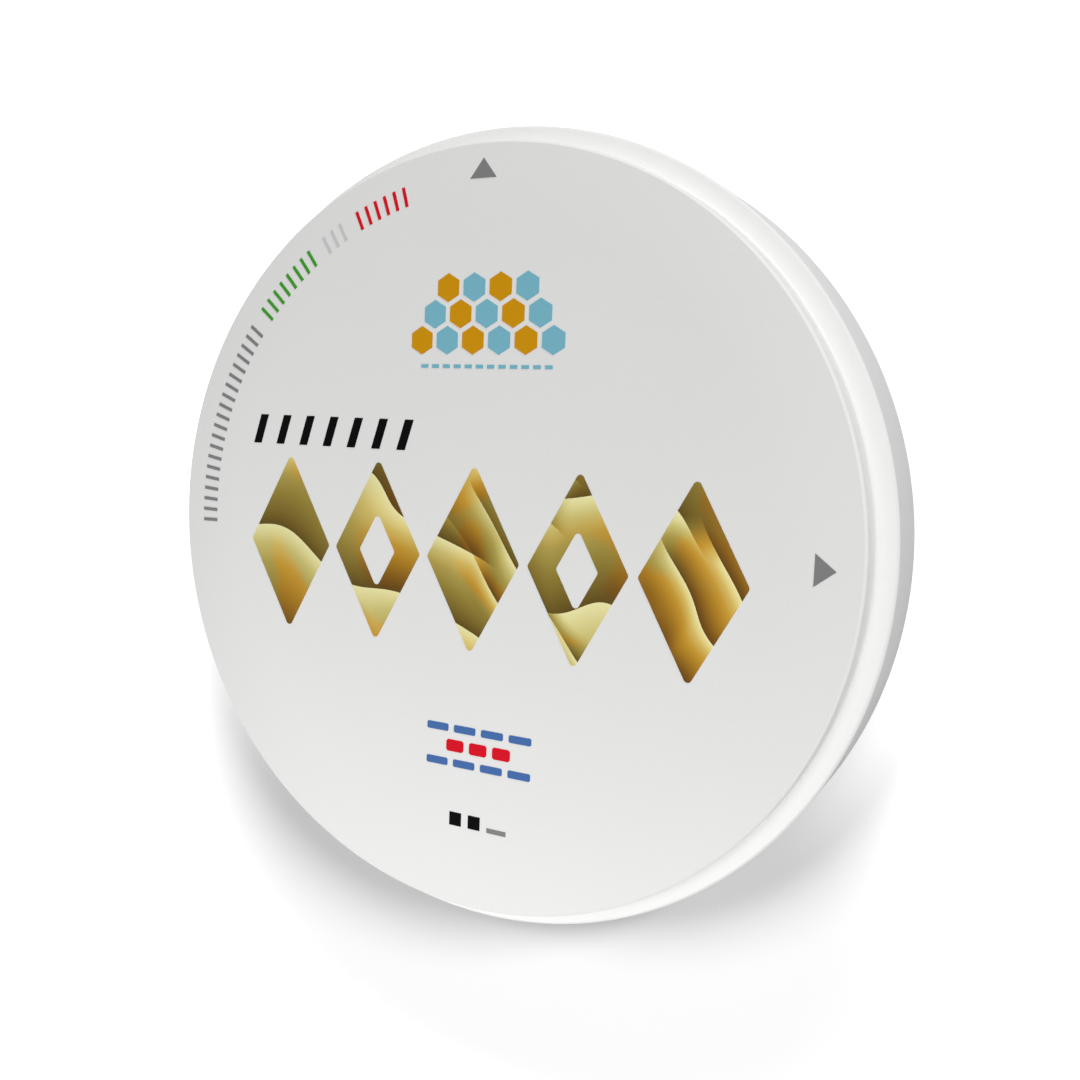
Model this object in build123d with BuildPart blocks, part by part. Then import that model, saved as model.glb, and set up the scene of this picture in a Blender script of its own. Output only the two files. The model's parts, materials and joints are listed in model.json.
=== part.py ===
"""Dental milling disc: a stepped ceramic blank with a generic print on its front face.

The disc lies flat. The origin is the centre of the rear face, +Z runs along the disc's axis
towards the printed face, +Y points to the top marker and +X to the side marker. Millimetres.
"""

import math
import os

from build123d import *

# The blank: a clamping flange with an equal round boss on each side
flange_diameter = 98.5
flange_thickness = 10.0
boss_diameter = 93.5
boss_height = 4.0
flange_edge_chamfer = 0.3
boss_edge_chamfer = 0.3
boss_root_radius = 0.3

# Every mark is a film of ink or foil on the front face
film_thickness = 0.05

# Grey orientation markers, two triangles that point outwards near the rim
marker_height = 2.3
marker_width = 3.55
top_marker_margin = 1.95
side_marker_margin = 3.05

# Graduated arc near the rim: short radial ticks in four colours, counted anticlockwise
arc_margin = 3.2
tick_length = 2.4
tick_width = 0.45
tick_pitch_angle = 1.95
arc_start_angle = 105.0
ticks_between_runs = 1
red_tick_count = 6
pale_tick_count = 3
green_tick_count = 8
grey_tick_count = 20

# Gold foil: a row of tall lozenges across the middle, every second one open
lozenge_width = 13.0
lozenge_height = 23.4
lozenge_gap = 1.1
lozenge_corner_radius = 0.5
lozenge_opening = 0.42
band_offset_y = -2.7
band_side_clearance = 3.5

# Black ink: a row of slanted bars above the left of the gold band
bar_width = 2.5
bar_height = 3.8
bar_pitch = 3.85
bar_count = 7
bar_slope_angle = 72.0
bar_row_clearance = 1.2

# Orange and teal ink: a stack of honeycomb in alternate colours over a dashed rule
hexagon_radius = 1.72
hexagon_gap = 0.62
honeycomb_row_count = 3
lowest_row_count = 6
emblem_margin = 16.8
emblem_offset_x = 1.0
rule_dash_length = 1.0
rule_dash_width = 0.45
rule_dash_pitch = 1.55
rule_dash_count = 12
rule_offset = 3.1

# Blue and red ink: three rows of dashes below the gold band
dash_length = 3.1
dash_height = 0.95
dash_pitch = 3.9
blue_dash_count = 4
red_dash_length = 2.5
red_dash_height = 1.5
red_dash_pitch = 3.3
red_dash_count = 3
dash_row_pitch = 2.2
dash_block_clearance = 11.8
dash_block_offset_x = 1.6

# Black squares with a grey dash, the lowest marks on the face
square_size = 1.7
square_pitch = 2.7
square_count = 2
square_margin = 11.2
note_length = 2.7
note_height = 0.6
note_clearance = 1.0

flange_radius = flange_diameter / 2
boss_radius = boss_diameter / 2
disc_thickness = boss_height + flange_thickness + boss_height
print_plane = Plane.XY.offset(disc_thickness)

arc_radius = boss_radius - arc_margin - tick_length / 2
band_half_width = arc_radius - tick_length / 2 - band_side_clearance
lozenge_pitch = lozenge_width + lozenge_gap
lozenge_count = int(2 * band_half_width // lozenge_pitch)
open_lozenge_count = lozenge_count // 2
band_top = band_offset_y + lozenge_height / 2
band_bottom = band_offset_y - lozenge_height / 2
bar_row_y = band_top + bar_row_clearance + bar_height / 2
bar_row_x = -lozenge_pitch * lozenge_count / 2 + bar_pitch * bar_count / 2
hexagon_pitch = hexagon_radius * math.sqrt(3) + hexagon_gap
honeycomb_row_pitch = hexagon_pitch * math.sqrt(3) / 2
highest_row_y = boss_radius - emblem_margin
lowest_row_y = highest_row_y - (honeycomb_row_count - 1) * honeycomb_row_pitch
rule_y = lowest_row_y - rule_offset
dash_block_y = band_bottom - dash_block_clearance
square_y = -boss_radius + square_margin
note_x = square_pitch * (square_count - 1) / 2 + square_size / 2 + note_clearance + note_length / 2
note_y = square_y - square_size / 2 + note_height / 2


def tick_run(ticks_before, tick_count):
    """Draw one colour's ticks, after so many ticks and gaps of the arc."""
    first_angle = arc_start_angle + ticks_before * tick_pitch_angle
    run_angle = (tick_count - 1) * tick_pitch_angle
    with PolarLocations(arc_radius, tick_count, first_angle, run_angle, endpoint=True):
        Rectangle(tick_length, tick_width)


def outward_triangle(angle, margin):
    """Draw an orientation marker whose tip stands a margin inside the boss's edge."""
    base_radius = boss_radius - margin - marker_height
    with PolarLocations(base_radius, 1, angle):
        Polygon(
            (0, -marker_width / 2),
            (marker_height, 0),
            (0, marker_width / 2),
            align=None,
        )


def lozenge(width, height, mode=Mode.ADD):
    """Draw an upright lozenge about the current location."""
    Polygon((width / 2, 0), (0, height / 2), (-width / 2, 0), (0, -height / 2), mode=mode)


def alternate_hexagons(row, first_index):
    """Draw every second hexagon of a honeycomb row. Row 0 is the lowest and each has one less."""
    row_count = lowest_row_count - row
    row_y = lowest_row_y + row * honeycomb_row_pitch
    row_start_x = emblem_offset_x - (row_count - 1) * hexagon_pitch / 2
    for index in range(first_index, row_count, 2):
        with Locations((row_start_x + index * hexagon_pitch, row_y)):
            RegularPolygon(hexagon_radius, 6, rotation=30)


# The blank, turned as one piece
with BuildPart() as disc:
    with BuildSketch(Plane.XZ):
        with BuildLine():
            Polyline(
                (0, 0),
                (boss_radius, 0),
                (boss_radius, boss_height),
                (flange_radius, boss_height),
                (flange_radius, boss_height + flange_thickness),
                (boss_radius, boss_height + flange_thickness),
                (boss_radius, disc_thickness),
                (0, disc_thickness),
                close=True,
            )
        make_face()
    revolve(axis=Axis.Z)
    corners = disc.edges().filter_by(GeomType.CIRCLE).group_by(Axis.Z)
    chamfer(corners[0] + corners[-1], boss_edge_chamfer)
    steps = disc.edges().filter_by(GeomType.CIRCLE).group_by(SortBy.RADIUS)
    chamfer(steps[-1], flange_edge_chamfer)
    roots = disc.edges().filter_by(GeomType.CIRCLE).filter_by_position(
        Axis.Z, boss_height, boss_height + flange_thickness
    )
    fillet(roots.group_by(SortBy.RADIUS)[0], boss_root_radius)

# Gold foil
with BuildPart() as gold_foil:
    with BuildSketch(print_plane) as band:
        with Locations((0, band_offset_y)):
            with GridLocations(lozenge_pitch, lozenge_pitch, lozenge_count, 1):
                lozenge(lozenge_width, lozenge_height)
            with GridLocations(2 * lozenge_pitch, lozenge_pitch, open_lozenge_count, 1):
                lozenge(
                    lozenge_width * lozenge_opening,
                    lozenge_height * lozenge_opening,
                    mode=Mode.SUBTRACT,
                )
        fillet(band.vertices(), lozenge_corner_radius)
    extrude(amount=film_thickness)

# Grey ink: markers, the longest run of ticks and the small dash at the foot
with BuildPart() as grey_ink:
    with BuildSketch(print_plane):
        outward_triangle(90, top_marker_margin)
        outward_triangle(0, side_marker_margin)
        tick_run(
            red_tick_count + pale_tick_count + green_tick_count + 3 * ticks_between_runs,
            grey_tick_count,
        )
        with Locations((note_x, note_y)):
            Rectangle(note_length, note_height)
    extrude(amount=film_thickness)

with BuildPart() as pale_ink:
    with BuildSketch(print_plane):
        tick_run(red_tick_count + ticks_between_runs, pale_tick_count)
    extrude(amount=film_thickness)

with BuildPart() as green_ink:
    with BuildSketch(print_plane):
        tick_run(red_tick_count + pale_tick_count + 2 * ticks_between_runs, green_tick_count)
    extrude(amount=film_thickness)

# Red ink: the first run of ticks and the middle row of dashes
with BuildPart() as red_ink:
    with BuildSketch(print_plane):
        tick_run(0, red_tick_count)
        with Locations((dash_block_offset_x, dash_block_y)):
            with GridLocations(red_dash_pitch, dash_row_pitch, red_dash_count, 1):
                RectangleRounded(red_dash_length, red_dash_height, red_dash_height / 4)
    extrude(amount=film_thickness)

with BuildPart() as blue_ink:
    with BuildSketch(print_plane):
        with Locations((dash_block_offset_x, dash_block_y)):
            with GridLocations(dash_pitch, 2 * dash_row_pitch, blue_dash_count, 2):
                RectangleRounded(dash_length, dash_height, dash_height / 4)
    extrude(amount=film_thickness)

# Black ink: the slanted bars and the squares at the foot
with BuildPart() as black_ink:
    with BuildSketch(print_plane):
        with Locations((bar_row_x, bar_row_y)):
            with GridLocations(bar_pitch, bar_pitch, bar_count, 1):
                Trapezoid(bar_width, bar_height, bar_slope_angle, 180 - bar_slope_angle)
        with Locations((0, square_y)):
            with GridLocations(square_pitch, square_pitch, square_count, 1):
                Rectangle(square_size, square_size)
    extrude(amount=film_thickness)

with BuildPart() as orange_ink:
    with BuildSketch(print_plane):
        for row in range(honeycomb_row_count):
            alternate_hexagons(row, row % 2)
    extrude(amount=film_thickness)

with BuildPart() as teal_ink:
    with BuildSketch(print_plane):
        for row in range(honeycomb_row_count):
            alternate_hexagons(row, (row + 1) % 2)
        with Locations((emblem_offset_x, rule_y)):
            with GridLocations(rule_dash_pitch, rule_dash_pitch, rule_dash_count, 1):
                Rectangle(rule_dash_length, rule_dash_width)
    extrude(amount=film_thickness)

pieces = {
    "disc": disc,
    "gold_foil": gold_foil,
    "grey_ink": grey_ink,
    "pale_ink": pale_ink,
    "green_ink": green_ink,
    "red_ink": red_ink,
    "blue_ink": blue_ink,
    "black_ink": black_ink,
    "orange_ink": orange_ink,
    "teal_ink": teal_ink,
}

os.makedirs("parts", exist_ok=True)
for name, piece in pieces.items():
    piece.part.label = name
    export_step(piece.part, f"parts/{name}.step")
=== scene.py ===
"""Dental milling disc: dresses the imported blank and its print, and sets the picture around them.

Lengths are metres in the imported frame. The disc lies on its rear face, +Z is its axis, +Y points
to the marker at the top of the print and +X to the marker at its side.
"""

from __future__ import annotations

import json
import logging
import math
from dataclasses import dataclass
from enum import Enum

import bmesh
import bpy
from mathutils import Matrix, Vector


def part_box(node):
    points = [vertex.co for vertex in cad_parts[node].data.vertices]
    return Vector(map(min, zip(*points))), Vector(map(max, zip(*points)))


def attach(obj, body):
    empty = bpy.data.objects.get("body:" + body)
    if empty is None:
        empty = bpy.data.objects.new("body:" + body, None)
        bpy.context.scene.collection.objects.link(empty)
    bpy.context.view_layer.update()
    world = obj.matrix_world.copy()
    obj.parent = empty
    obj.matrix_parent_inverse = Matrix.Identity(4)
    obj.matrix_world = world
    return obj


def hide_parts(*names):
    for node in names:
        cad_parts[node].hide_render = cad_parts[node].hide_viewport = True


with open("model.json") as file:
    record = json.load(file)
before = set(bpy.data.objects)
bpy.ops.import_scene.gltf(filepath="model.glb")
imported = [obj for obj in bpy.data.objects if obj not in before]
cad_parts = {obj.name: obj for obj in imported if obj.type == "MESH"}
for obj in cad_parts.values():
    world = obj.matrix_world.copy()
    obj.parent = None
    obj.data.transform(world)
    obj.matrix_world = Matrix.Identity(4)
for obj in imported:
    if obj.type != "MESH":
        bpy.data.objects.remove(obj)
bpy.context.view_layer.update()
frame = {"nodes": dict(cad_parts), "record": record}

BODY = "root"
MM = 0.001

log = logging.getLogger("milling_disc")

Colour = tuple[float, float, float]
Place = tuple[float, float, float]

WHITE: Colour = (1.0, 1.0, 1.0)


def opaque(colour: Colour) -> tuple[float, float, float, float]:
    """Return a colour with full alpha."""
    return (*colour, 1.0)


def seen_rays(tree: bpy.types.NodeTree) -> bpy.types.NodeSocket:
    """Add a switch that is 1 for what the camera sees, also in a reflection or through glass.

    Args:
        tree: A material's or world's node tree.

    Returns:
        The switch's socket.
    """
    path = tree.nodes.new("ShaderNodeLightPath")
    seen = path.outputs["Is Camera Ray"]
    for ray in ("Is Glossy Ray", "Is Transmission Ray"):
        either = tree.nodes.new("ShaderNodeMath")
        either.operation = "MAXIMUM"
        tree.links.new(seen, either.inputs[0])
        tree.links.new(path.outputs[ray], either.inputs[1])
        seen = either.outputs[0]
    return seen


class Ink(Enum):
    """The flat printing inks, each with its node's name and its colour on the ceramic."""

    GREY = ("grey_ink", (0.225, 0.225, 0.228))
    PALE = ("pale_ink", (0.60, 0.60, 0.61))
    GREEN = ("green_ink", (0.055, 0.33, 0.028))
    RED = ("red_ink", (0.68, 0.010, 0.022))
    BLUE = ("blue_ink", (0.066, 0.155, 0.40))
    BLACK = ("black_ink", (0.006, 0.006, 0.006))
    ORANGE = ("orange_ink", (0.62, 0.29, 0.006))
    TEAL = ("teal_ink", (0.19, 0.47, 0.58))

    def __init__(self, node: str, colour: Colour) -> None:
        """Keep the member's node name and colour."""
        self.node = node
        self.colour = colour


class Shader:
    """A material's node tree, with the few helpers that the finishes share."""

    def __init__(self, name: str) -> None:
        """Start an empty tree with one Principled shader.

        Args:
            name: The material's name.
        """
        self.material = bpy.data.materials.new(name)
        self.material.use_nodes = True
        self.nodes = self.material.node_tree.nodes
        self.nodes.clear()
        output = self.add("ShaderNodeOutputMaterial")
        self.surface = self.add("ShaderNodeBsdfPrincipled")
        self.link(self.surface.outputs["BSDF"], output.inputs["Surface"])
        self.place = self.add("ShaderNodeTexCoord").outputs["Object"]

    def add(self, kind: str, **settings: object) -> bpy.types.Node:
        """Add a node.

        Args:
            kind: The node's type name.
            **settings: Attributes to set on it.

        Returns:
            The new node.
        """
        node = self.nodes.new(kind)
        for key, value in settings.items():
            setattr(node, key, value)
        return node

    def link(self, source: bpy.types.NodeSocket, target: bpy.types.NodeSocket) -> None:
        """Join an output to an input."""
        self.material.node_tree.links.new(source, target)

    def noise(self, scale: float, detail: float, swirl: float = 0.0) -> bpy.types.NodeSocket:
        """Add a noise pattern, read at the object's own place.

        Args:
            scale: Pattern cells in a metre.
            detail: Octaves of finer pattern.
            swirl: How far the pattern is swirled.

        Returns:
            The pattern's value, about 0.5 in the middle.
        """
        node = self.add("ShaderNodeTexNoise")
        node.inputs["Scale"].default_value = scale
        node.inputs["Detail"].default_value = detail
        node.inputs["Distortion"].default_value = swirl
        self.link(self.place, node.inputs["Vector"])
        return node.outputs["Fac"]

    def math(
        self,
        operation: str,
        first: bpy.types.NodeSocket | float,
        second: bpy.types.NodeSocket | float = 0.0,
        third: bpy.types.NodeSocket | float = 0.0,
    ) -> bpy.types.NodeSocket:
        """Add a calculation.

        Args:
            operation: The calculation's name.
            first: First value or socket.
            second: Second value or socket.
            third: Third value or socket.

        Returns:
            The result's socket.
        """
        node = self.add("ShaderNodeMath", operation=operation)
        for socket, value in zip(node.inputs, (first, second, third)):
            if isinstance(value, bpy.types.NodeSocket):
                self.link(value, socket)
            else:
                socket.default_value = value
        return node.outputs[0]

    def vector(
        self, operation: str, first: bpy.types.NodeSocket, second: Place
    ) -> bpy.types.NodeSocket:
        """Add a calculation on vectors.

        Args:
            operation: The calculation's name.
            first: The first vector's socket.
            second: The second vector.

        Returns:
            The result's socket.
        """
        node = self.add("ShaderNodeVectorMath", operation=operation)
        self.link(first, node.inputs[0])
        node.inputs[1].default_value = second
        return node.outputs["Vector"]

    def length(self, vector: bpy.types.NodeSocket) -> bpy.types.NodeSocket:
        """Measure a vector's length.

        Args:
            vector: The vector's socket.

        Returns:
            The length's socket.
        """
        node = self.add("ShaderNodeVectorMath", operation="LENGTH")
        self.link(vector, node.inputs[0])
        return node.outputs["Value"]

    def soft_step(
        self, level: bpy.types.NodeSocket, start: float, end: float
    ) -> bpy.types.NodeSocket:
        """Turn a level into a soft step.

        Args:
            level: The level.
            start: The level up to which the step is 0.
            end: The level from which the step is 1.

        Returns:
            The step's socket.
        """
        node = self.add("ShaderNodeMapRange", interpolation_type="SMOOTHSTEP")
        node.inputs["From Min"].default_value = start
        node.inputs["From Max"].default_value = end
        self.link(level, node.inputs["Value"])
        return node.outputs["Result"]

    def around_one(self, pattern: bpy.types.NodeSocket, swing: float) -> bpy.types.NodeSocket:
        """Turn a pattern about 0.5 into a factor about 1.

        Args:
            pattern: The pattern's value.
            swing: How far the factor moves over the pattern's whole range.

        Returns:
            The factor's socket.
        """
        return self.math("MULTIPLY_ADD", pattern, swing, 1.0 - swing / 2)

    def tint(
        self, colour: bpy.types.NodeSocket | Colour, factor: bpy.types.NodeSocket
    ) -> bpy.types.NodeSocket:
        """Scale a colour by a factor.

        Args:
            colour: The colour or its socket.
            factor: The factor's socket.

        Returns:
            The scaled colour's socket.
        """
        node = self.add("ShaderNodeVectorMath", operation="SCALE")
        if isinstance(colour, bpy.types.NodeSocket):
            self.link(colour, node.inputs[0])
        else:
            node.inputs[0].default_value = colour
        self.link(factor, node.inputs["Scale"])
        return node.outputs[0]

    def blend(
        self,
        share: bpy.types.NodeSocket,
        first: bpy.types.NodeSocket | Colour,
        second: bpy.types.NodeSocket | Colour,
    ) -> bpy.types.NodeSocket:
        """Blend two colours.

        Args:
            share: How much of the second colour shows.
            first: The first colour or its socket.
            second: The second colour or its socket.

        Returns:
            The blended colour's socket.
        """
        node = self.add("ShaderNodeMix", data_type="RGBA")
        self.link(share, node.inputs["Factor"])
        # The node's colour sockets come after those for numbers and vectors
        for socket, colour in ((node.inputs[6], first), (node.inputs[7], second)):
            if isinstance(colour, bpy.types.NodeSocket):
                self.link(colour, socket)
            else:
                socket.default_value = opaque(colour)
        return node.outputs[2]

    def ramp(
        self, level: bpy.types.NodeSocket, stops: list[tuple[float, Colour]]
    ) -> bpy.types.NodeSocket:
        """Turn a level into a colour.

        Args:
            level: The level, from 0 to 1.
            stops: Levels and their colours, in rising order.

        Returns:
            The colour's socket.
        """
        node = self.add("ShaderNodeValToRGB")
        elements = node.color_ramp.elements
        while len(elements) < len(stops):
            elements.new(0.5)
        for element, (position, colour) in zip(elements, stops):
            element.position = position
            element.color = opaque(colour)
        self.link(level, node.inputs["Fac"])
        return node.outputs["Color"]

    def bump(self, height: bpy.types.NodeSocket, distance: float) -> None:
        """Give the surface relief.

        Args:
            height: The relief's pattern.
            distance: The relief's depth for a pattern step of 1.
        """
        node = self.add("ShaderNodeBump")
        node.inputs["Strength"].default_value = 1.0
        node.inputs["Distance"].default_value = distance
        self.link(height, node.inputs["Height"])
        self.link(node.outputs["Normal"], self.surface.inputs["Normal"])


@dataclass(frozen=True)
class CeramicFinish:
    """Chalky pre-sintered ceramic: ground end faces, whiter turned steps and a rim wall darkened
    with painted shade.

    Attributes:
        face_tone: The end faces' colour.
        step_tone: The colour of the ledges, the bosses' walls and the edges.
        rim_painted_shade_tone: The darker colour on the flange's outer wall, which is painted
            shade.
        face_depth: How far below an end face its colour reaches.
        rim_shade_depth: How far inside the flange's radius the rim's painted shade reaches.
        clouding: How far broad clouds swing the colour.
        grain: How far the fine grain swings it.
    """

    face_tone: Colour = (0.775, 0.775, 0.767)
    step_tone: Colour = (0.863, 0.863, 0.852)
    # Painted shade: the rim is coloured darker than the steps to stand in for the shade on the
    # flange's wall
    rim_painted_shade_tone: Colour = (0.74, 0.74, 0.74)
    face_depth: float = 0.02 * MM
    rim_shade_depth: float = 0.04 * MM
    roughness: float = 0.62
    gloss: float = 0.3
    noise_detail: float = 3.0
    clouding_scale: float = 55.0
    clouding: float = 0.022
    grain_scale: float = 3800.0
    grain: float = 0.035
    grain_depth: float = 0.012 * MM
    turning_pitch: float = 0.16 * MM
    turning_depth: float = 0.0012 * MM

    def material(self, thickness: float, rim_radius: float) -> bpy.types.Material:
        """Make the ceramic.

        Args:
            thickness: The disc's thickness, which tells the end faces from the steps.
            rim_radius: The flange's radius, which tells its rim from the steps.

        Returns:
            The material.
        """
        shader = Shader("milled_ceramic")
        split = shader.add("ShaderNodeSeparateXYZ")
        shader.link(shader.place, split.inputs[0])
        height = split.outputs["Z"]
        from_middle = shader.math("ABSOLUTE", shader.math("SUBTRACT", height, thickness / 2))
        on_face = shader.math("GREATER_THAN", from_middle, thickness / 2 - self.face_depth)
        radius = shader.length(shader.vector("MULTIPLY", shader.place, (1.0, 1.0, 0.0)))
        # Painted shade: the flange's outer wall gets a darker colour that stands in for the shade
        # it lies in
        on_painted_rim_shade = shader.math("GREATER_THAN", radius, rim_radius - self.rim_shade_depth)

        step = shader.blend(on_painted_rim_shade, self.step_tone, self.rim_painted_shade_tone)
        tone = shader.blend(on_face, step, self.face_tone)

        clouds = shader.around_one(
            shader.noise(self.clouding_scale, self.noise_detail), self.clouding
        )
        grain = shader.noise(self.grain_scale, self.noise_detail)
        grains = shader.around_one(grain, self.grain)
        colour = shader.tint(tone, shader.math("MULTIPLY", clouds, grains))
        shader.link(colour, shader.surface.inputs["Base Color"])
        shader.surface.inputs["Roughness"].default_value = self.roughness
        shader.surface.inputs["Specular IOR Level"].default_value = self.gloss

        turns = shader.math("MULTIPLY", height, 2 * math.pi / self.turning_pitch)
        share_of_relief = self.turning_depth / self.grain_depth
        marks = shader.math("MULTIPLY", shader.math("SINE", turns), share_of_relief)
        relief = shader.math("ADD", grain, marks)
        shader.bump(relief, self.grain_depth)
        return shader.material


@dataclass(frozen=True)
class FoldSet:
    """Satin folds that run one way: each shades up to a pale crest and drops off sharply.

    Attributes:
        pitch: How wide a fold is before it sways.
        angle: The way across the folds, turned from +X.
        sway: How many folds a crest may wander.
        sway_scale: Swings of the crests in a metre.
    """

    pitch: float
    angle: float
    sway: float
    sway_scale: float


@dataclass(frozen=True)
class PatchSet:
    """Soft-edged patches over the foil.

    Attributes:
        scale: Patches in a metre.
        swirl: How far their edges are swirled.
    """

    scale: float
    swirl: float


@dataclass(frozen=True)
class FoilFinish:
    """Gold foil that looks like draped satin, olive in some folds and amber in others.

    Attributes:
        broad: The folds outside the narrow patches.
        narrow: The folds inside them.
        patch_edge: How much of the pattern's range a patch's soft edge takes.
        relief: How deep a fold looks.
    """

    broad: FoldSet = FoldSet(pitch=12 * MM, angle=math.radians(72), sway=2.4, sway_scale=26.0)
    narrow: FoldSet = FoldSet(pitch=5.5 * MM, angle=math.radians(38), sway=2.6, sway_scale=34.0)
    sway_swirl: float = 0.6
    narrow_patches: PatchSet = PatchSet(scale=30.0, swirl=1.0)
    amber_patches: PatchSet = PatchSet(scale=39.0, swirl=2.0)
    patch_edge: float = 0.12
    noise_detail: float = 1.0
    roughness: float = 0.40
    gloss: float = 0.12
    metal: float = 0.25
    relief: float = 0.06 * MM

    def olive_stops(self) -> list[tuple[float, Colour]]:
        """Return the olive folds' colours, from the valley to the crest."""
        return [
            (0.00, (0.100, 0.062, 0.008)),
            (0.12, (0.165, 0.112, 0.016)),
            (0.36, (0.270, 0.205, 0.034)),
            (0.60, (0.390, 0.310, 0.070)),
            (0.80, (0.550, 0.475, 0.155)),
            (0.93, (0.700, 0.640, 0.290)),
            (1.00, (0.770, 0.730, 0.380)),
        ]

    def amber_stops(self) -> list[tuple[float, Colour]]:
        """Return the amber folds' colours, from the valley to the crest."""
        return [
            (0.00, (0.105, 0.045, 0.004)),
            (0.14, (0.190, 0.085, 0.006)),
            (0.40, (0.380, 0.190, 0.012)),
            (0.62, (0.520, 0.290, 0.030)),
            (0.80, (0.620, 0.450, 0.110)),
            (0.93, (0.740, 0.640, 0.260)),
            (1.00, (0.800, 0.740, 0.380)),
        ]

    def folds(self, shader: Shader, run: FoldSet) -> bpy.types.NodeSocket:
        """Add a set of folds.

        Args:
            shader: The foil's shader.
            run: The folds' spacing, way and sway.

        Returns:
            Each fold's height, which climbs from 0 to 1 across it.
        """
        way = (math.cos(run.angle) / run.pitch, math.sin(run.angle) / run.pitch, 0.0)
        across = shader.add("ShaderNodeVectorMath", operation="DOT_PRODUCT")
        across.inputs[1].default_value = way
        shader.link(shader.place, across.inputs[0])
        sway = shader.noise(run.sway_scale, self.noise_detail, self.sway_swirl)
        count = shader.math("MULTIPLY_ADD", sway, run.sway, across.outputs["Value"])
        return shader.math("FRACT", count)

    def patches(self, shader: Shader, run: PatchSet) -> bpy.types.NodeSocket:
        """Add a set of patches.

        Args:
            shader: The foil's shader.
            run: The patches' size and swirl.

        Returns:
            A level that is 0 outside the patches and 1 inside them.
        """
        half_edge = self.patch_edge / 2
        pattern = shader.noise(run.scale, self.noise_detail, run.swirl)
        return shader.soft_step(pattern, 0.5 - half_edge, 0.5 + half_edge)

    def material(self) -> bpy.types.Material:
        """Make the foil.

        Returns:
            The material.
        """
        shader = Shader("satin_gold_foil")
        narrow_here = self.patches(shader, self.narrow_patches)
        keep = shader.math("SUBTRACT", 1.0, narrow_here)
        broad = shader.math("MULTIPLY", self.folds(shader, self.broad), keep)
        narrow = shader.math("MULTIPLY", self.folds(shader, self.narrow), narrow_here)
        height = shader.math("ADD", broad, narrow)

        amber_here = self.patches(shader, self.amber_patches)
        olive = shader.ramp(height, self.olive_stops())
        amber = shader.ramp(height, self.amber_stops())
        colour = shader.blend(amber_here, olive, amber)
        shader.link(colour, shader.surface.inputs["Base Color"])
        shader.surface.inputs["Metallic"].default_value = self.metal
        shader.surface.inputs["Roughness"].default_value = self.roughness
        shader.surface.inputs["Specular IOR Level"].default_value = self.gloss
        shader.bump(height, self.relief)
        return shader.material


@dataclass(frozen=True)
class InkFinish:
    """Flat printing ink that lets a little of the ceramic's grain through."""

    ink: Ink
    roughness: float = 0.55
    gloss: float = 0.0
    grain_scale: float = 3200.0
    grain_detail: float = 2.0
    grain: float = 0.10
    grain_depth: float = 0.004 * MM

    def material(self) -> bpy.types.Material:
        """Make the ink.

        Returns:
            The material.
        """
        shader = Shader(self.ink.node)
        grain = shader.noise(self.grain_scale, self.grain_detail)
        colour = shader.tint(self.ink.colour, shader.around_one(grain, self.grain))
        shader.link(colour, shader.surface.inputs["Base Color"])
        shader.surface.inputs["Roughness"].default_value = self.roughness
        shader.surface.inputs["Specular IOR Level"].default_value = self.gloss
        shader.bump(grain, self.grain_depth)
        return shader.material


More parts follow.
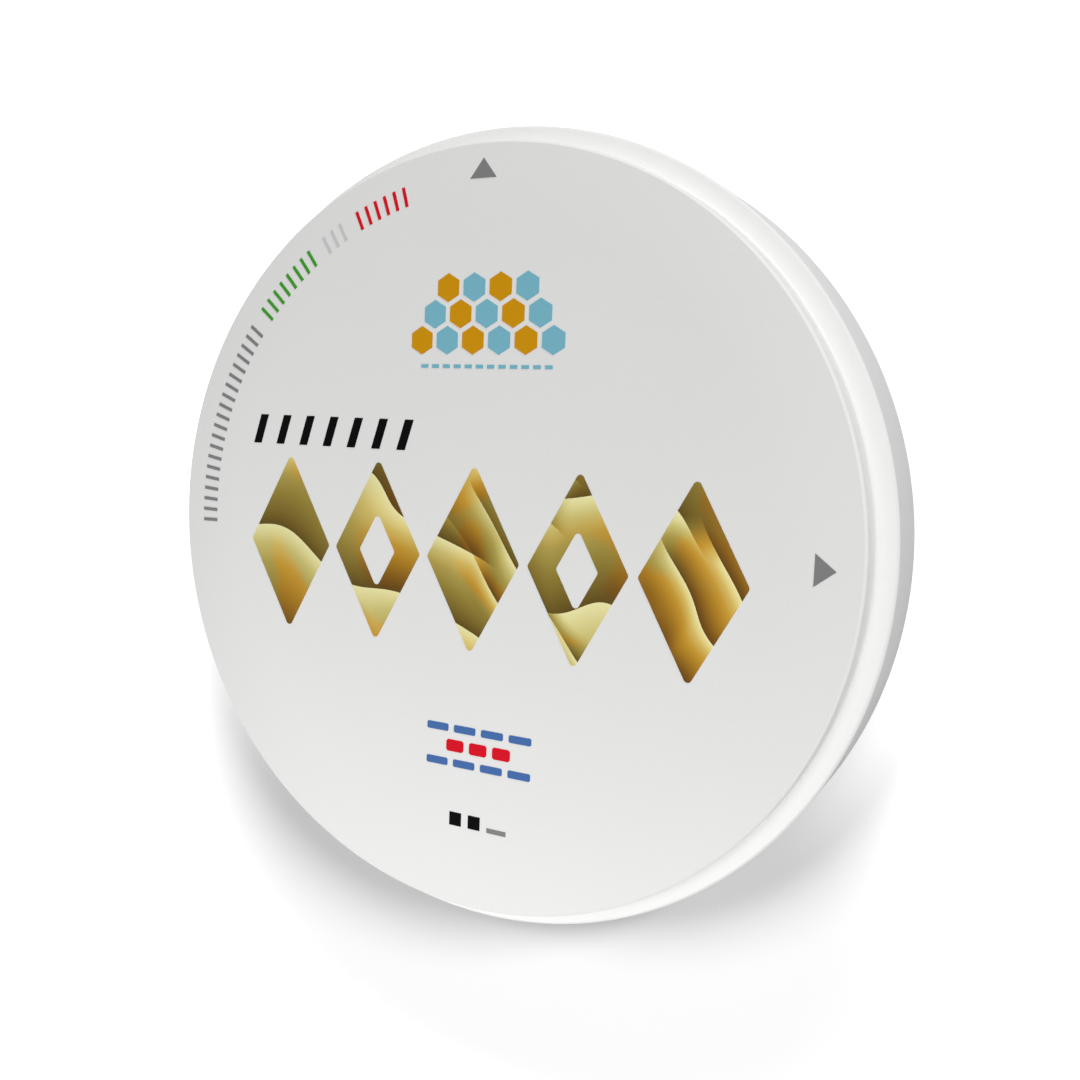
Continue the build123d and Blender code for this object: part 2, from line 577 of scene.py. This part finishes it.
@dataclass
class Blank:
    """The ceramic disc: a clamping flange with a lower, slightly narrower boss on each side.

    Attributes:
        face_rings: How many rings each end face is split into, which keeps its triangles short.
        rounded_from: The least angle between two faces whose edge is rounded.
        smooth_up_to: The largest angle between two faces that still shade as one surface.
        tolerance: How near a circle a corner lies to count as on it.
    """

    flange_radius: float
    thickness: float
    rear_shoulder: float
    front_shoulder: float
    boss_radius: float = 46.75 * MM
    edge_chamfer: float = 0.3 * MM
    root_radius: float = 0.3 * MM
    edge_rounding: float = 0.06 * MM
    chamfer_facets: int = 1
    root_facets: int = 4
    rounding_facets: int = 2
    turning_steps: int = 480
    face_rings: int = 5
    rounded_from: float = math.radians(30)
    smooth_up_to: float = math.radians(35)
    tolerance: float = 0.01 * MM

    @classmethod
    def from_frame(cls) -> Blank:
        """Read the blank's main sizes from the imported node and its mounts.

        Returns:
            The blank.
        """
        low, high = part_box("disc")
        shoulders = {m["name"]: m["pos_m"][2] for m in frame["record"]["mounts"]}
        return cls(
            flange_radius=(high[0] - low[0]) / 2,
            thickness=high[2] - low[2],
            rear_shoulder=shoulders["rear_shoulder"],
            front_shoulder=shoulders["front_shoulder"],
        )

    def outline(self) -> list[tuple[float, float]]:
        """List the half section's corners, from axis to axis.

        Returns:
            Each corner's radius and height.
        """
        rings = [self.boss_radius * ring / self.face_rings for ring in range(self.face_rings)]
        rear = [(radius, 0.0) for radius in rings]
        front = [(radius, self.thickness) for radius in reversed(rings)]
        steps = [
            (self.boss_radius, 0.0),
            (self.boss_radius, self.rear_shoulder),
            (self.flange_radius, self.rear_shoulder),
            (self.flange_radius, self.front_shoulder),
            (self.boss_radius, self.front_shoulder),
            (self.boss_radius, self.thickness),
        ]
        return rear + steps + front

    def ring_edges(
        self, mesh: bmesh.types.BMesh, radius: float, height: float
    ) -> list[bmesh.types.BMEdge]:
        """Pick the edges of one circle of the turned mesh.

        Args:
            mesh: The turned mesh.
            radius: The circle's radius.
            height: The circle's height.

        Returns:
            The edges that run round the circle.
        """
        def on_ring(vertex: bmesh.types.BMVert) -> bool:
            """Tell whether a corner lies on the circle.

            Args:
                vertex: The corner.

            Returns:
                True where it does.
            """
            off_radius = abs(vertex.co.xy.length - radius)
            off_height = abs(vertex.co.z - height)
            return max(off_radius, off_height) < self.tolerance

        return [edge for edge in mesh.edges if all(on_ring(vertex) for vertex in edge.verts)]

    def bevel(
        self,
        mesh: bmesh.types.BMesh,
        edges: list[bmesh.types.BMEdge],
        offset: float,
        segments: int,
    ) -> None:
        """Break or round some edges.

        Args:
            mesh: The turned mesh.
            edges: The edges to cut.
            offset: How far the cut reaches along each side.
            segments: Facets across the cut.
        """
        bmesh.ops.bevel(
            mesh,
            geom=edges,
            offset=offset,
            offset_type="OFFSET",
            segments=segments,
            profile=0.5,
            affect="EDGES",
            material=-1,
            clamp_overlap=True,
        )

    def build(self) -> bpy.types.Object:
        """Turn the outline about the axis and break its edges.

        Returns:
            The finished disc.
        """
        mesh = bmesh.new()
        chain = [mesh.verts.new((radius, 0.0, height)) for radius, height in self.outline()]
        edges = [mesh.edges.new(pair) for pair in zip(chain, chain[1:])]
        bmesh.ops.spin(
            mesh,
            geom=chain + edges,
            cent=(0.0, 0.0, 0.0),
            axis=(0.0, 0.0, 1.0),
            dvec=(0.0, 0.0, 0.0),
            angle=2 * math.pi,
            steps=self.turning_steps,
            use_merge=True,
            use_duplicate=False,
        )
        bmesh.ops.remove_doubles(mesh, verts=mesh.verts, dist=self.tolerance)
        bmesh.ops.recalc_face_normals(mesh, faces=mesh.faces)

        for height in (0.0, self.thickness):
            corner = self.ring_edges(mesh, self.boss_radius, height)
            self.bevel(mesh, corner, self.edge_chamfer, self.chamfer_facets)
        for height in (self.rear_shoulder, self.front_shoulder):
            corner = self.ring_edges(mesh, self.flange_radius, height)
            self.bevel(mesh, corner, self.edge_chamfer, self.chamfer_facets)
            root = self.ring_edges(mesh, self.boss_radius, height)
            self.bevel(mesh, root, self.root_radius, self.root_facets)

        sharp = [edge for edge in mesh.edges if edge.calc_face_angle(0.0) > self.rounded_from]
        self.bevel(mesh, sharp, self.edge_rounding, self.rounding_facets)

        data = bpy.data.meshes.new("ceramic_blank")
        mesh.to_mesh(data)
        mesh.free()
        data.shade_smooth()
        data.set_sharp_from_angle(angle=self.smooth_up_to)
        blank = bpy.data.objects.new("ceramic_blank", data)
        bpy.context.scene.collection.objects.link(blank)
        return blank

    def dress(self, finish: CeramicFinish) -> bpy.types.Object:
        """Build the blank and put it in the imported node's place.

        Args:
            finish: The ceramic's finish.

        Returns:
            The dressed disc.
        """
        blank = self.build()
        blank.data.materials.append(finish.material(self.thickness, self.flange_radius))
        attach(blank, BODY)
        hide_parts("disc")
        return blank


@dataclass
class FacePrint:
    """The films of foil and ink on the front face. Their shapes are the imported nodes' own."""

    foil: FoilFinish

    def paint(self, node: str, material: bpy.types.Material) -> bpy.types.Object:
        """Give a film its finish.

        Args:
            node: The film's node.
            material: The finish.

        Returns:
            The film.
        """
        film = frame["nodes"][node]
        film.data.materials.clear()
        film.data.materials.append(material)
        return film

    def dress(self) -> list[bpy.types.Object]:
        """Paint every film.

        Returns:
            The painted films.
        """
        films = [self.paint("gold_foil", self.foil.material())]
        films += [self.paint(ink.node, InkFinish(ink).material()) for ink in Ink]
        return films


@dataclass(frozen=True)
class Softbox:
    """A studio lamp with a rectangular face that points at an aim, such as the disc's middle.

    The brightness is what the lamp adds to a white surface that lies flat at the aim, where 1 is
    the level at which a colour renders as it is written. It is reckoned as for a small, far lamp,
    so a near and long one adds less. Azimuth 0 is +X and 90 degrees is +Y.
    """

    name: str
    aim: Vector
    azimuth: float
    elevation: float
    distance: float
    width: float
    height: float
    brightness: float

    def ray(self) -> Vector:
        """Work out the way from the aim to the lamp.

        Returns:
            The lamp's place as seen from the aim.
        """
        level = math.cos(math.radians(self.elevation))
        turn = math.radians(self.azimuth)
        rise = math.sin(math.radians(self.elevation))
        return Vector((level * math.cos(turn), level * math.sin(turn), rise)) * self.distance

    def power(self) -> float:
        """Return the lamp's power in watts for its brightness."""
        rise = math.sin(math.radians(self.elevation))
        return self.brightness * math.pi**2 * self.distance**2 / rise

    def build(self, receivers: bpy.types.Collection) -> bpy.types.Object:
        """Hang the lamp.

        Args:
            receivers: The only things that it lights.

        Returns:
            The lamp.
        """
        light = bpy.data.lights.new(self.name, "AREA")
        light.shape = "RECTANGLE"
        light.size = self.width
        light.size_y = self.height
        light.energy = self.power()
        lamp = bpy.data.objects.new(self.name, light)
        bpy.context.scene.collection.objects.link(lamp)
        lamp.location = self.aim + self.ray()
        lamp.rotation_euler = (-self.ray()).to_track_quat("-Z", "Y").to_euler()
        lamp.visible_camera = False
        lamp.light_linking.receiver_collection = receivers
        return lamp


@dataclass(frozen=True)
class ShadowSun:
    """A far round lamp that lights the floor past the disc.

    Angles are in degrees, and the spread softens the shadow's edge. The brightness is what the
    lamp adds to a white floor.
    """

    name: str
    azimuth: float
    elevation: float
    spread: float
    brightness: float

    def build(self, receivers: bpy.types.Collection) -> bpy.types.Object:
        """Hang the lamp.

        Args:
            receivers: The only things that it lights.

        Returns:
            The lamp.
        """
        light = bpy.data.lights.new(self.name, "SUN")
        light.angle = math.radians(self.spread)
        light.energy = self.brightness * math.pi / math.sin(math.radians(self.elevation))
        lamp = bpy.data.objects.new(self.name, light)
        bpy.context.scene.collection.objects.link(lamp)
        lean = math.radians(90.0 - self.elevation)
        lamp.rotation_euler = (0.0, lean, math.radians(self.azimuth))
        lamp.light_linking.receiver_collection = receivers
        return lamp


@dataclass(frozen=True)
class DimOval:
    """A soft-edged oval of floor that doesn't glow, so that the disc's shadow shows on it.

    Attributes:
        middle: The oval's middle on the floor.
        squeeze: How many times narrower than a circle it is along each axis; height is left out.
        radius: Its radius before it is squeezed.
        fade: How wide its edge is.
    """

    middle: Place
    squeeze: Place
    radius: float
    fade: float

    def outside(self, shader: Shader) -> bpy.types.NodeSocket:
        """Tell the oval from the floor outside it.

        Args:
            shader: The floor's shader.

        Returns:
            A factor that is 0 in the oval and 1 past its edge.
        """
        offset = shader.vector("SUBTRACT", shader.place, self.middle)
        distance = shader.length(shader.vector("MULTIPLY", offset, self.squeeze))
        return shader.soft_step(distance, self.radius, self.radius + self.fade)


@dataclass
class Studio:
    """A white floor, soft lamps and a white surround.

    Attributes:
        disc_top: The height of the disc's front face, at which its lamps aim.
        floor_tone: The floor's colour where it is seen.
        bounce_tone: Its colour for the light that it throws back.
        floor_glow: How strongly it glows where it is seen.
        surround: The strength of the light from all round.
        foot_offset: How far from the disc's middle the strip at its foot aims.
    """

    disc_top: float
    floor_half_width: float = 3.0
    floor_drop: float = 0.02 * MM
    floor_tone: Colour = (0.82, 0.82, 0.82)
    bounce_tone: Colour = (0.36, 0.36, 0.36)
    floor_glow: float = 0.55
    front_dim: DimOval = DimOval(
        middle=(-1 * MM, -52 * MM, 0.0),
        squeeze=(0.85, 1.5, 0.0),
        radius=34 * MM,
        fade=42 * MM,
    )
    foot_dim: DimOval = DimOval(
        middle=(-7 * MM, 0.0, 0.0),
        squeeze=(1.0, 1.0, 0.0),
        radius=48 * MM,
        fade=10 * MM,
    )
    surround: float = 0.17
    foot_offset: Place = (-13 * MM, -42 * MM, 0.0)

    def build_floor(self) -> bpy.types.Object:
        """Lay the floor. It glows where it is seen, but for the ovals at and before the disc.

        It throws less light back on the disc than its look suggests, so that the rim keeps its
        shade.

        Returns:
            The floor.
        """
        mesh = bmesh.new()
        bmesh.ops.create_grid(mesh, x_segments=1, y_segments=1, size=self.floor_half_width)
        bmesh.ops.translate(mesh, verts=mesh.verts, vec=(0.0, 0.0, -self.floor_drop))
        data = bpy.data.meshes.new("studio_floor")
        mesh.to_mesh(data)
        mesh.free()
        shader = Shader("studio_floor")
        seen = seen_rays(shader.material.node_tree)
        tone = shader.blend(seen, self.bounce_tone, self.floor_tone)
        shader.link(tone, shader.surface.inputs["Base Color"])
        shader.surface.inputs["Roughness"].default_value = 1.0
        shader.surface.inputs["Specular IOR Level"].default_value = 0.0
        shader.surface.inputs["Emission Color"].default_value = opaque(WHITE)
        outside = shader.math(
            "MULTIPLY", self.front_dim.outside(shader), self.foot_dim.outside(shader)
        )
        glow = shader.math("MULTIPLY", outside, self.floor_glow)
        strength = shader.math("MULTIPLY", glow, seen)
        shader.link(strength, shader.surface.inputs["Emission Strength"])
        data.materials.append(shader.material)
        floor = bpy.data.objects.new("studio_floor", data)
        bpy.context.scene.collection.objects.link(floor)
        return floor

    def build_surround(self) -> None:
        """Set the soft light from all round, which is white where it is seen or mirrored."""
        world = bpy.data.worlds.new("studio_surround")
        bpy.context.scene.world = world
        world.use_nodes = True
        tree = world.node_tree
        strength = tree.nodes.new("ShaderNodeMapRange")
        strength.inputs["To Min"].default_value = self.surround
        strength.inputs["To Max"].default_value = 1.0
        tree.links.new(seen_rays(tree), strength.inputs["Value"])
        background = tree.nodes["Background"]
        background.inputs["Color"].default_value = opaque(WHITE)
        tree.links.new(strength.outputs["Result"], background.inputs["Strength"])

    def product_lamps(self) -> list[Softbox]:
        """List the lamps that light the disc: from above, from its upper right and at its foot.

        Returns:
            The lamps.
        """
        middle = Vector((0.0, 0.0, self.disc_top))
        foot = middle + Vector(self.foot_offset)
        return [
            Softbox(
                name="high_key",
                aim=middle,
                azimuth=68.0,
                elevation=76.0,
                distance=1.30,
                width=0.60,
                height=0.60,
                brightness=0.478,
            ),
            Softbox(
                name="side_fill",
                aim=middle,
                azimuth=52.0,
                elevation=16.0,
                distance=1.20,
                width=0.60,
                height=0.30,
                brightness=0.118,
            ),
            Softbox(
                name="foot_strip",
                aim=foot,
                azimuth=-92.0,
                elevation=46.0,
                distance=0.083,
                width=0.30,
                height=0.04,
                brightness=0.95,
            ),
        ]

    def floor_lamps(self) -> list[ShadowSun]:
        """List the lamps that light the floor and throw the disc's shadow to its lower sides.

        Returns:
            The lamps.
        """
        return [
            ShadowSun(
                name="left_shadow_sun",
                azimuth=37.0,
                elevation=36.0,
                spread=17.0,
                brightness=0.53,
            ),
            ShadowSun(
                name="right_shadow_sun",
                azimuth=134.0,
                elevation=58.0,
                spread=24.0,
                brightness=0.47,
            ),
        ]

    def build(self, product: list[bpy.types.Object]) -> None:
        """Build the floor, the lamps and the surround.

        Args:
            product: The disc and its films.
        """
        floor = self.build_floor()
        self.build_surround()
        for name, lamps, lit in (
            ("product_lit", self.product_lamps(), product),
            ("floor_lit", self.floor_lamps(), [floor]),
        ):
            receivers = bpy.data.collections.new(name)
            for thing in lit:
                receivers.objects.link(thing)
            for lamp in lamps:
                lamp.build(receivers)


@dataclass
class PhotoCamera:
    """The camera where the photograph's stood, from a fit to the disc's outlines."""

    place: Vector
    aim: Vector
    roll: float = math.radians(2.08)
    lens: float = 36.414
    sensor: float = 36.0
    near_limit: float = 1 * MM

    def build(self) -> bpy.types.Object:
        """Set up the scene's camera.

        Returns:
            The camera.
        """
        data = bpy.data.cameras.new("photo_camera")
        data.lens = self.lens
        data.sensor_width = self.sensor
        data.clip_start = self.near_limit
        camera = bpy.data.objects.new("photo_camera", data)
        bpy.context.scene.collection.objects.link(camera)
        forward = (self.aim - self.place).normalized()
        right = forward.cross(Vector((0.0, 1.0, 0.0))).normalized()
        up = right.cross(forward)
        turn = Matrix.Rotation(self.roll, 3, -forward)
        axes = Matrix((turn @ right, turn @ up, -forward)).transposed()
        camera.matrix_world = Matrix.Translation(self.place) @ axes.to_4x4()
        bpy.context.scene.camera = camera
        return camera


def main() -> None:
    """Build the camera, the disc, its print and the studio in order."""
    logging.basicConfig(level=logging.INFO, format="%(name)s: %(message)s")
    blank = Blank.from_frame()

    camera = PhotoCamera(
        place=Vector((67.40, 14.40, 131.57)) * MM,
        aim=Vector((9.17, 0.53, 18.0)) * MM,
    ).build()
    log.info("camera at %s", tuple(round(value, 4) for value in camera.location))

    disc = blank.dress(CeramicFinish())
    log.info("%s: %d faces", disc.name, len(disc.data.polygons))
    films = FacePrint(FoilFinish()).dress()
    for film in films:
        log.info("%s: %s", film.name, film.data.materials[0].name)

    Studio(blank.thickness).build([disc, *films])
    bpy.context.scene.view_settings.view_transform = "Standard"
    log.info("studio set")


if __name__ == "__main__":
    main()
